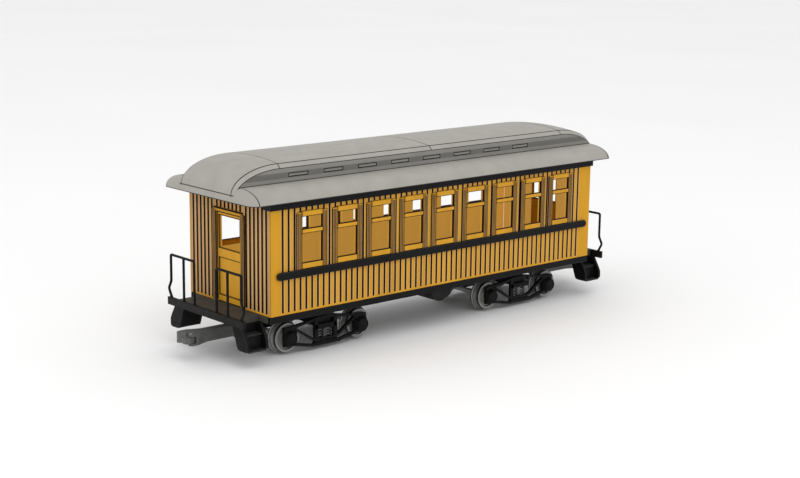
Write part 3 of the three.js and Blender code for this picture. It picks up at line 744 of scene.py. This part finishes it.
def window_frames(bm):
    for x in WINDOW_CENTRES:
        columns = [x - FRAME_HALF, x - LIGHT_HALF, x + LIGHT_HALF, x + FRAME_HALF]
        back = -SIDE_HALF + FRAME_BACK
        lattice(bm, columns, FRAME_Z, [(1, 1), (1, 3)], "y", -SIDE_HALF - PROUD, back)


def reeds(width):
    """Outline of a strip of half-round reeds, from a little inside the wall to a little past PROUD."""
    radius = width / REEDS * REED_SHARE
    base = PROUD + LAP - radius
    points = [(0, -TRIM_SINK), (0, base)]
    for k in range(REEDS):
        middle = width * (k + 0.5) / REEDS
        for i in range(REED_STEPS + 1):
            angle = math.pi * (1 - i / REED_STEPS)
            points.append((middle + radius * math.cos(angle), base + radius * math.sin(angle)))
    return [*points, (width, base), (width, -TRIM_SINK)]


def trim_starts():
    """Where each strip of window trim begins along the side, two strips to a window."""
    for x in WINDOW_CENTRES:
        yield x - FRAME_HALF - TRIM_GAP - TRIM_WIDTH
        yield x + FRAME_HALF + TRIM_GAP


def side_trims(bm):
    for start in trim_starts():
        outline = [(start + a, -SIDE_HALF - b) for a, b in reeds(TRIM_WIDTH)]
        prism(bm, outline, "z", FRAME_Z[0], TRIM_TOP - CAPITAL_HEIGHT)


def side_capitals(bm):
    across = (-SIDE_HALF - PROUD - 0.1, -SIDE_HALF + TRIM_SINK)
    for start in trim_starts():
        block(bm, (start, start + TRIM_WIDTH), across, (TRIM_TOP - CAPITAL_HEIGHT, TRIM_TOP))


def build_sides():
    for name, side in SIDES.items():
        turned = side > 0
        node = "side_wall_" + name
        walls = combined(solid(side_boards, turned), [solid(window_holes, turned)], "DIFFERENCE")
        on_wall("boards_" + name, walls, node, "side_boards")
        foot = solid(side_foot, turned)
        on_wall("foot_band_" + name, foot, node, "yellow", bevel=0.08)
        frames = solid(window_frames, turned)
        on_wall("window_frames_" + name, frames, node, "sash", "yellow_edge", 0.18, 1)
        trims = solid(side_trims, turned)
        on_wall("window_trim_" + name, trims, node, "side_reeds")
        capitals = solid(side_capitals, turned)
        on_wall("trim_tops_" + name, capitals, node, "yellow", "yellow_edge", 0.15)


def end_boards(bm):
    corner = SIDE_HALF - SEAM
    centres = [-y for y in reversed(END_GROOVES)] + END_GROOVES
    points = [(x, y) for y, x in groove_points(centres, -BODY_HALF, END_GROOVE)]
    outline = [(-BODY_HALF, -corner), *points, (-BODY_HALF, corner)]
    inside = -BODY_HALF + WALL
    outline += [(inside, corner - WALL), (inside, -corner + WALL)]
    prism(bm, outline, "z", DECK_Z + FOOT_BAND, WALL_TOP)


def end_foot(bm):
    corner = SIDE_HALF - SEAM
    for side in (-1, 1):
        outline = [
            (-BODY_HALF, side * corner),
            (-BODY_HALF, side * DOOR_TRIM[0]),
            (-BODY_HALF + WALL, side * DOOR_TRIM[0]),
            (-BODY_HALF + WALL, side * (corner - WALL)),
        ]
        prism(bm, outline, "z", DECK_Z, DECK_Z + FOOT_BAND)


def doorway(bm):
    half = DOOR_HALF + DOOR_GAP
    block(bm, through(BODY_HALF), (-half, half), (DECK_Z - 1, HEAD_Z[0] - SEAM))


def over_door_cuts(bm):
    deep = (-BODY_HALF - 1, -BODY_HALF + GROOVE_DEPTH)
    for y in OVER_DOOR_GROOVES:
        across = (y - END_GROOVE, y + END_GROOVE)
        block(bm, deep, across, (HEAD_Z[1] + LEDGE_HEIGHT + SEAM, WALL_TOP + 1))


def end_trims(bm):
    inner, outer = DOOR_TRIM
    for side in (-1, 1):
        outline = [(-BODY_HALF - b, side * (inner + a)) for a, b in reeds(outer - inner)]
        prism(bm, outline, "z", DECK_Z, HEAD_Z[0] + HEAD_LAP)


def end_head(bm):
    back = -BODY_HALF + 0.2
    block(bm, (-BODY_HALF - HEAD_PROUD, back), (-HEAD_HALF, HEAD_HALF), HEAD_Z)
    ledge = (HEAD_Z[1] - 0.02, HEAD_Z[1] + LEDGE_HEIGHT)
    block(bm, (-BODY_HALF - LEDGE_PROUD, back), (-LEDGE_HALF, LEDGE_HALF), ledge)


def build_ends():
    for name, sign in ENDS.items():
        turned = sign > 0
        node = "end_wall_" + name
        cuts = [solid(doorway, turned), solid(over_door_cuts, turned)]
        walls = combined(solid(end_boards, turned), cuts, "DIFFERENCE")
        on_wall("end_boards_" + name, walls, node, "end_boards")
        foot = solid(end_foot, turned)
        on_wall("end_foot_" + name, foot, node, "yellow", bevel=0.08)
        trims = solid(end_trims, turned)
        on_wall("door_trim_" + name, trims, node, "end_reeds")
        head = solid(end_head, turned)
        on_wall("door_head_" + name, head, node, "yellow", "yellow_edge", 0.34, 1)


def door_leaf(bm):
    columns = [-DOOR_HALF, -DOOR_OPENING, DOOR_OPENING, DOOR_HALF]
    lattice(bm, columns, DOOR_Z, [(1, 1), (1, 3)], "x", -DOOR_IN - DOOR_THICK, -DOOR_IN)


def door_panel(bm):
    half = DOOR_OPENING + LAP
    heights = (DOOR_Z[1] - LAP, DOOR_Z[2] + LAP)
    block(bm, (-DOOR_IN - PANEL_FRONT, -DOOR_IN - PANEL_BACK), (-half, half), heights)


def moulding_lines(low, high):
    """Grid lines of a narrow frame that just laps the edges of an opening."""
    return [low - 0.02, low + MOULDING_WIDTH, high - MOULDING_WIDTH, high + 0.02]


def door_mouldings(bm):
    outer = -DOOR_IN - DOOR_THICK
    columns = moulding_lines(-DOOR_OPENING, DOOR_OPENING)
    for low, high in (DOOR_Z[1:3], DOOR_Z[3:5]):
        rows = moulding_lines(low, high)
        lattice(bm, columns, rows, [(1, 1)], "x", outer + MOULDING_BACK, outer + MOULDING_FRONT)


def door_pins(bm):
    x, y = -DOOR_IN - PIN_BACK, -DOOR_HALF + PIN_EDGE
    rod(bm, (x, y, PIN_Z[0]), (x, y, PIN_Z[1]), PIN_RADIUS, 24)


def build_doors():
    for name, sign in ENDS.items():
        turned, body, node = sign > 0, "door_" + name, ["end_door_" + name]
        leaf = solid(door_leaf, turned)
        piece("door_leaf_" + name, leaf, body, node, "yellow", "yellow_edge", 0.34, 1)
        panel = solid(door_panel, turned)
        piece("door_panel_" + name, panel, body, node, "yellow")
        rings = solid(door_mouldings, turned)
        piece("door_moulding_" + name, rings, body, node, "yellow", "yellow_edge", 0.18, 1)
        pins = solid(door_pins, turned)
        piece("door_pins_" + name, pins, body, node, "yellow")


def belt_rail(bm):
    low, high = corners("belt_rail_right")
    middle, radius = (low.z + high.z) / 2, (high.z - low.z) / 2
    straight = high.x - radius
    outline = []
    for centre, start in ((straight, -90), (-straight, 90)):
        for i in range(BELT_STEPS + 1):
            angle = math.radians(start + i * 180 / BELT_STEPS)
            outline.append((centre + radius * math.cos(angle), middle + radius * math.sin(angle)))
    prism(bm, outline, "y", low.y, high.y)


def build_side_bars():
    for name, side in SIDES.items():
        rail = solid(belt_rail, side > 0)
        node = "belt_rail_" + name
        black_trim("belt_" + name, rail, "coach_body", node, "black", "black_edge", 0.35, 3, 50)
        refined("letterboard_" + name, "coach_body", "black", "black_edge", 0.2)
        refined("side_sill_" + name, "coach_body", "black", "black_edge", 0.25)


# ---------- roof ----------


def lower_curve(x, steps=28):
    """(|y|, z) points of the lower roof's outer curve at a given |x|, from the eave up."""
    past = max(0.0, x - HIP_X)
    across = math.sqrt(1 - (past / HOOD_PLAN_REACH) ** 2)
    down = math.sqrt(1 - (past / HOOD_HEIGHT_REACH) ** 2)
    points = []
    for i in range(steps + 1):
        t = math.pi / 2 * i / steps
        y = CLERESTORY_HALF + (EAVE_HALF - CLERESTORY_HALF) * across * math.cos(t)
        points.append((y, EAVE_Z + ROOF_RISE * down * math.sin(t)))
    return points


def roof_run(bm):
    outline = [(-CLERESTORY_INNER, EAVE_Z), *[(-y, z) for y, z in lower_curve(0)]]
    outline += [(-CLERESTORY_HALF, UPRIGHT_TOP - SEAM), (-CLERESTORY_INNER, UPRIGHT_TOP - SEAM)]
    prism(bm, outline, "x", -HIP_X, HIP_X)


def hood_sections(edge):
    """Rings of the near hood, right half, as far as edge from the middle."""
    reach = ROOF_END - HIP_X
    stations = [HOOD_START]
    for i in range(HOOD_STEPS + 1):
        stations.append(HIP_X + reach * math.sin(math.pi / 2 * i / HOOD_STEPS))
    for x in stations:
        curve = lower_curve(x)
        yield [(-x, -edge, EAVE_Z), *[(-x, -y, z) for y, z in curve], (-x, -edge, curve[-1][1])]


def hood(bm):
    loft(bm, list(hood_sections(SEAM / 2)))


def far_hood(bm):
    """The far hood on the right side: the near one reflected along the coach."""
    loft(bm, [[(-x, y, z) for x, y, z in ring] for ring in hood_sections(SEAM / 2)])


def nose_curve(steps=24):
    """(|x|, z) along the top of the chamfer over the bullnose."""
    for i in range(steps + 1):
        t = math.pi / 2 * i / steps
        yield (
            NOSE_START + (NOSE_END - NOSE_START) * math.sin(t),
            NOSE_END_Z + (CAP_TOP - NOSE_END_Z) * math.cos(t),
        )


def above_nose(bm):
    """Everything that is over the bullnose's lower edge, at the near end."""
    curve = [(-x, z - CHAMFER_DROP - SEAM) for x, z in nose_curve()]
    corner = [(-NOSE_END - 1, curve[-1][1]), (-NOSE_END - 1, CAP_TOP), (-NOSE_START, CAP_TOP)]
    prism(bm, curve + corner, "y", -CLERESTORY_HALF - 1, -CLERESTORY_INNER + 1)


def far_above_nose(bm):
    above_nose(bm)
    for vert in bm.verts:
        vert.co.x = -vert.co.x


def vent_boxes(bm, deep, border_x=0.0, border_z=0.0):
    """A block at each vent, between two depths, smaller than the vent by a border."""
    half = VENT_HALF - border_x
    heights = (VENT_Z[0] + border_z, VENT_Z[1] - border_z)
    for i in range(VENTS):
        x = (i - VENTS / 2) * VENT_PITCH
        block(bm, (x - half, x + half), deep, heights)


def vent_cuts(bm):
    vent_boxes(bm, (-CLERESTORY_HALF - 1, -CLERESTORY_HALF + VENT_DEPTH))


def vent_panels(bm):
    """A thin raised panel in each vent recess, leaving a narrow gap all round, dark with painted
    shade.
    """
    deep = (-CLERESTORY_HALF + 0.05, -CLERESTORY_HALF + VENT_DEPTH + 0.02)
    vent_boxes(bm, deep, *VENT_BORDER)


def clerestory_cap(bm):
    flat = CLERESTORY_HALF - CHAMFER_WIDTH
    sections = []
    for x, z in [(SEAM / 2, CAP_TOP), *nose_curve()]:
        crown = CROWN * (z - NOSE_END_Z) / (CAP_TOP - NOSE_END_Z)
        ring = [(-x, CLERESTORY_HALF, z - CHAMFER_DROP)]
        for i in range(-CROWN_STEPS, CROWN_STEPS + 1):
            share = i / CROWN_STEPS
            ring.append((-x, -flat * share, z + crown * (1 - share ** 2)))
        ring.append((-x, -CLERESTORY_HALF, z - CHAMFER_DROP))
        sections.append(ring)
    loft(bm, sections)


def hood_shadow(bm):
    """Both halves of the near hood in one, raised by the seam, to cut the cap where it lands."""
    rings = []
    for ring in hood_sections(0):
        right = [(x, y, z + SEAM) for x, y, z in ring[1:-1]]
        rings.append(right + [(x, -y, z) for x, y, z in reversed(right)])
    loft(bm, rings)


def build_roof():
    for name, side in SIDES.items():
        turned = side > 0
        run = combined(solid(roof_run), [solid(above_nose), solid(far_above_nose)], "DIFFERENCE")
        whole = combined(run, [solid(hood), solid(far_hood)], "UNION")
        whole = combined(whole, [solid(vent_cuts)], "DIFFERENCE")
        if turned:
            whole.transform(Matrix.Rotation(math.pi, 4, "Z"))
        node = ["lower_roof_" + name]
        piece("roof_" + name, whole, "coach_body", node, "roof")
        panels = solid(vent_panels, turned)
        piece("vents_" + name, panels, "coach_body", node, "roof_side_shade", "roof_edge", 0.12, 1)
    for name, sign in ENDS.items():
        cap = combined(solid(clerestory_cap), [solid(hood_shadow)], "DIFFERENCE")
        if sign > 0:
            cap.transform(Matrix.Rotation(math.pi, 4, "Z"))
        node = ["clerestory_roof_" + name]
        piece("cap_" + name, cap, "coach_body", node, "cap", smooth=24)


# ---------- platforms ----------


def railing(side):
    def at(y, z):
        return (RAIL_X, side * y, z)

    def build(bm):
        inner, middle, outer = RAIL_Y
        hoop = [at(inner, RAIL_FOOT), at(inner, RAIL_TOP), at(outer, RAIL_TOP)]
        hoop += [at(y, z) for y, z in zip((outer, RAIL_BULGE, outer), RAIL_KINKS)]
        tube(bm, rounded(hoop, RAIL_CORNER), POST_RADIUS, POST_SIDES)
        rod(bm, at(middle, RAIL_FOOT), at(middle, RAIL_TOP), POST_RADIUS, POST_SIDES)
        for y in RAIL_Y:
            lathe(bm, POST_FOOT, at(y, RAIL_FOOT), "z", 24)

    return build


def step_plates(side):
    def build(bm):
        outline = [(side * y, z) for y, z in STEP_OUTLINE]
        prism(bm, outline, "x", STEP_X[0], STEP_X[0] + STEP_PLATE)
        prism(bm, outline, "x", STEP_X[1] - STEP_PLATE, STEP_X[1])

    return build


def step_risers(side):
    def build(bm):
        outline = [(side * y, z) for y, z in RISER_OUTLINE]
        prism(bm, outline, "x", STEP_X[0] + STEP_PLATE, STEP_X[1] - STEP_PLATE)

    return build


def step_treads(side):
    def build(bm):
        inside = (STEP_X[0] + STEP_PLATE - TREAD_LAP, STEP_X[1] - STEP_PLATE + TREAD_LAP)
        for inner, outer, top in TREADS:
            block(bm, inside, sorted((side * inner, side * outer)), (top - TREAD_THICK, top))

    return build


def build_platforms():
    refined("underframe", "coach_body", "deck", "beam_edge", 0.15)
    for name, sign in ENDS.items():
        turned = sign > 0
        refined("end_beam_" + name, "coach_body", "beam", "beam_edge", 0.25)
        for side in (-1, 1):
            where = f"{name}_{corner_name(name, side)}"
            rail = solid(railing(side), turned)
            black_trim("rail_" + where, rail, "coach_body", "railing_" + where)
            node = "steps_" + where
            plates = solid(step_plates(side), turned)
            edge = ("black_edge", 0.25, 2, 30)
            black_trim("step_plates_" + where, plates, "coach_body", node, "black", *edge)
            risers = solid(step_risers(side), turned)
            black_trim("step_risers_" + where, risers, "coach_body", node, bevel=0.1)
            treads = solid(step_treads(side), turned)
            black_trim("step_treads_" + where, treads, "coach_body", node, "tread", bevel=0.2)


def tank(bm):
    """A drum across the coach, with its top cut off flat under the floor."""
    low, high = corners("underfloor_tank")
    centre = DECK_Z - TANK_DROP
    reach = math.pi - math.acos((high.z - centre) / TANK_RADIUS)
    outline = []
    for i in range(TANK_SIDES + 1):
        angle = -math.pi / 2 - reach + 2 * reach * i / TANK_SIDES
        outline.append((TANK_RADIUS * math.cos(angle), centre + TANK_RADIUS * math.sin(angle)))
    prism(bm, outline, "y", low.y, high.y)


def build_tank():
    drum = solid(tank)
    piece("tank", drum, "coach_body", ["underfloor_tank"], "beam", "beam_edge", 0.3, 2, 40)


# ---------- trucks ----------


def wheelset(x):
    def build(bm):
        half = [
            (1.55, 0),
            (1.6, 15.5),
            (2.9, 16.0),
            (3.0, 17.6),
            (3.5, WHEEL_BACK + 0.3),
            (6.2, WHEEL_BACK + 0.5),
            (6.6, WHEEL_BACK),
            (9.7, WHEEL_BACK),
            (10.1, WHEEL_BACK + 0.15),
            (FLANGE, WHEEL_BACK + 0.5),
            (10.2, WHEEL_BACK + 0.85),
            (9.3, WHEEL_BACK + 1.35),
            (8.95, WHEEL_BACK + 1.7),
            (TREAD + 0.05, WHEEL_BACK + 2.1),
            (TREAD - 0.12, WHEEL_FACE - 0.25),
            (TREAD - 0.35, WHEEL_FACE),
            (7.1, WHEEL_FACE),
            (6.9, WHEEL_FACE - 0.15),
            (6.6, WHEEL_FACE - 1.1),
            (5.2, WHEEL_FACE - 1.35),
            (3.7, WHEEL_FACE - 1.1),
            (3.4, WHEEL_FACE - 0.2),
            (3.2, WHEEL_FACE),
            (1.6, WHEEL_FACE),
            (1.6, SIDE_FRAME_OUT - 0.3),
            (1.4, SIDE_FRAME_OUT - 0.1),
            (0, SIDE_FRAME_OUT - 0.1),
        ]
        profile = [(r, -y) for r, y in reversed(half)] + half[1:]
        lathe(bm, profile, (x, 0, AXLE_Z), "y", 96)

    return build


def journal(x, side):
    def build(bm):
        back = SIDE_FRAME_OUT + 0.1
        profile = [
            (0, back),
            (4.55, back),
            (4.6, back + 0.25),
            (4.0, back + 1.0),
            (3.95, JOURNAL_FACE - 0.45),
            (3.75, JOURNAL_FACE - 0.2),
            (3.5, JOURNAL_FACE - 0.2),
            (3.3, JOURNAL_FACE - 0.5),
            (2.9, JOURNAL_FACE - 0.5),
            (2.7, JOURNAL_FACE - 0.25),
            (1.2, JOURNAL_FACE - 0.15),
            (1.0, JOURNAL_FACE),
            (0, JOURNAL_FACE),
        ]
        lathe(bm, [(r, side * y) for r, y in profile], (x, 0, AXLE_Z), "y", 56)

    return build


def arch_bar(bm, path, depth, side):
    """A flat bar bent to a path of (x, z) points in a side frame, with its width across Y."""
    points = [Vector(p) for p in path]
    upper, lower = [], []
    for i, point in enumerate(points):
        before = (point - points[i - 1]).normalized() if i else (points[1] - point).normalized()
        after = (points[i + 1] - point).normalized() if i < len(points) - 1 else before
        mean = (before + after).normalized()
        normal = Vector((-mean.y, mean.x)) * depth / 2 / max(0.4, mean.dot(before))
        upper.append(tuple(point + normal))
        lower.append(tuple(point - normal))
    outline = [(x - TRUCK_X, z) for x, z in upper + lower[::-1]]
    ys = sorted((side * SIDE_FRAME_IN, side * SIDE_FRAME_OUT))
    prism(bm, outline, "y", *ys)


def both_ways(half):
    """A path from the truck's middle outwards, carried to both ends."""
    return [(-x, z) for x, z in reversed(half)] + half


def side_bars(side):
    def build(bm):
        arch_bar(bm, both_ways(TOP_BAR), BAR_DEPTH, side)
        arch_bar(bm, both_ways(SLANT_BAR), SLANT_DEPTH, side)
        arch_bar(bm, both_ways(LOW_BAR), BAR_DEPTH, side)

    return build


def side_posts(side):
    def build(bm):
        ys = sorted((side * (SIDE_FRAME_IN + 0.1), side * (SIDE_FRAME_OUT - 0.1)))
        spans = [BOLSTER_END, SPRING_SEAT]
        for end in (-1, 1):
            for x, half, low, high in POSTS:
                spans.append((end * x - half, end * x + half, low, high))
            spans.append((end * AXLE_BLOCK[0], end * AXLE_BLOCK[1], *AXLE_BLOCK[2:]))
        for start, stop, low, high in spans:
            block(bm, sorted((start - TRUCK_X, stop - TRUCK_X)), ys, (low, high))

    return build


def side_bearings(side):
    """The round holes that the axle ends turn in."""

    def build(bm):
        for x in AXLES.values():
            ys = (side * (SIDE_FRAME_IN - 1), side * (SIDE_FRAME_OUT + 1))
            rod(bm, (x, ys[0], AXLE_Z), (x, ys[1], AXLE_Z), BEARING_RADIUS, 32)

    return build


def side_springs(side):
    def build(bm):
        y = side * (SIDE_FRAME_IN + SIDE_FRAME_OUT) / 2
        count = int(SPRING_TURNS * SPRING_STEPS)
        for x in (-SPRING_X - TRUCK_X, SPRING_X - TRUCK_X):
            path = []
            for i in range(count + 1):
                angle = math.tau * i / SPRING_STEPS
                z = SPRING_Z[0] + (SPRING_Z[1] - SPRING_Z[0]) * i / count
                spot = (x + SPRING_ALONG * math.cos(angle), y + SPRING_ACROSS * math.sin(angle), z)
                path.append(spot)
            tube(bm, path, SPRING_WIRE, 8)

    return build


def side_bolts(side):
    def build(bm):
        face = SIDE_FRAME_OUT
        half = [
            (0, face - 0.1),
            (0.62, face - 0.1),
            (0.62, face + 0.28),
            (0.45, face + 0.42),
            (0, face + 0.42),
        ]
        profile = [(r, side * y) for r, y in half]
        for end in (-1, 1):
            for x, z in BOLT_SPOTS:
                lathe(bm, profile, (end * x - TRUCK_X, 0, z), "y", 6)

    return build


def build_trucks():
    for name, sign in ENDS.items():
        turned, body = sign > 0, "truck_" + name
        refined("truck_bolster_" + name, body, "black", "black_edge", 0.3)
        refined("kingpin_" + name, "coach_body", "steel", bevel=0.1)
        for axle, x in AXLES.items():
            where = f"{name}_{axle}"
            wheels = solid(wheelset(x), turned)
            node = ["wheelset_" + where]
            piece("wheels_" + where, wheels, "axle_" + where, node, "wheel", smooth=28)
        for side in (-1, 1):
            where = f"{name}_{corner_name(name, side)}"
            node = "side_frame_" + where
            bars = solid(side_bars(side), turned)
            black_trim("arch_bars_" + where, bars, body, node, "black", "black_edge", 0.18)
            bearings = solid(side_bearings(side), turned)
            posts = combined(solid(side_posts(side), turned), [bearings], "DIFFERENCE")
            black_trim("frame_posts_" + where, posts, body, node, bevel=0.15)
            springs = solid(side_springs(side), turned)
            black_trim("springs_" + where, springs, body, node, "black_edge")
            bolts = solid(side_bolts(side), turned)
            black_trim("bolts_" + where, bolts, body, node, "black_edge", smooth=20)
            for axle, x in AXLES.items():
                box = solid(journal(x, side), turned)
                spot = f"{where}_{axle}"
                black_trim("axle_box_" + spot, box, body, "journal_" + spot, smooth=30)


# ---------- couplers ----------


def build_couplers():
    for name in ENDS:
        refined("coupler_" + name, "drawbar_" + name, "coupler", "coupler_edge", 0.3)
        refined("knuckle_" + name, "jaw_" + name, "coupler", "coupler_edge", 0.3, 3)
        refined("knuckle_pin_" + name, "drawbar_" + name, "steel", bevel=0.12)
        refined("coupler_pin_" + name, "truck_" + name, "steel", bevel=0.12)


# ---------- stage ----------


def build_stage():
    floor = bpy.data.meshes.new("floor")
    half = FLOOR_HALF
    spots = [(-half, -half, 0), (half, -half, 0), (half, half, 0), (-half, half, 0)]
    floor.from_pydata(spots, [], [(0, 1, 2, 3)])
    nodes = Nodes("floor")
    tone = nodes.remap(nodes.noise(3, 2.0), *NOISE_RANGE)
    pale = nodes.mix(tone, [0.9, 0.9, 0.9, 1], [0.92, 0.92, 0.92, 1])
    nodes.link(pale, nodes.shader.inputs["Base Color"])
    nodes.shader.inputs["Roughness"].default_value = 0.9
    nodes.shader.inputs["Specular IOR Level"].default_value = 0.1
    floor.materials.append(nodes.material)
    plane = bpy.data.objects.new("floor", floor)
    bpy.context.scene.collection.objects.link(plane)

    world = bpy.data.worlds.new("studio")
    bpy.context.scene.world = world
    world.use_nodes = True
    background = world.node_tree.nodes["Background"]
    background.inputs["Color"].default_value = (1, 1, 1, 1)
    background.inputs["Strength"].default_value = 0.95

    def area(name, spot, aim, width, power):
        data = bpy.data.lights.new(name, "AREA")
        data.size = width
        data.energy = power
        lamp = bpy.data.objects.new(name, data)
        lamp.location = spot
        lamp.rotation_mode = "QUATERNION"
        lamp.rotation_quaternion = (Vector(aim) - Vector(spot)).to_track_quat("-Z", "Y")
        bpy.context.scene.collection.objects.link(lamp)

    area("key", (-0.5, -1.3, 1.6), (0, 0, 0.05), 1.2, 9)
    area("fill", (-1.6, 0.1, 0.9), (0, 0, 0.06), 1.0, 3)
    bpy.context.scene.view_settings.view_transform = "Standard"


def build_camera():
    """A camera that looks towards the coach's middle at deck height, from a little above it."""
    angles = (CAMERA_AZIMUTH, CAMERA_ELEVATION, CAMERA_ROLL)
    azimuth, elevation, roll = (math.radians(angle) for angle in angles)
    back = Vector((
        math.sin(azimuth) * math.cos(elevation),
        -math.cos(azimuth) * math.cos(elevation),
        math.sin(elevation),
    ))
    level = Vector((math.cos(azimuth), math.sin(azimuth), 0))
    rise = back.cross(level)
    right = level * math.cos(roll) + rise * math.sin(roll)
    up = rise * math.cos(roll) - level * math.sin(roll)
    data = bpy.data.cameras.new("camera")
    data.sensor_width = SENSOR
    data.lens = LENS
    data.clip_start, data.clip_end = 0.01, 100
    camera = bpy.data.objects.new("camera", data)
    spot = right * CAMERA_RIGHT + up * CAMERA_UP + back * CAMERA_DISTANCE + Vector((0, 0, DECK_Z))
    turn = Matrix((right, up, back)).transposed()
    camera.matrix_world = Matrix.Translation(spot * MM) @ turn.to_4x4()
    bpy.context.scene.collection.objects.link(camera)
    bpy.context.scene.camera = camera


build_camera()
build_stage()
build_sides()
build_ends()
build_doors()
build_side_bars()
build_roof()
build_platforms()
build_tank()
build_trucks()
build_couplers()
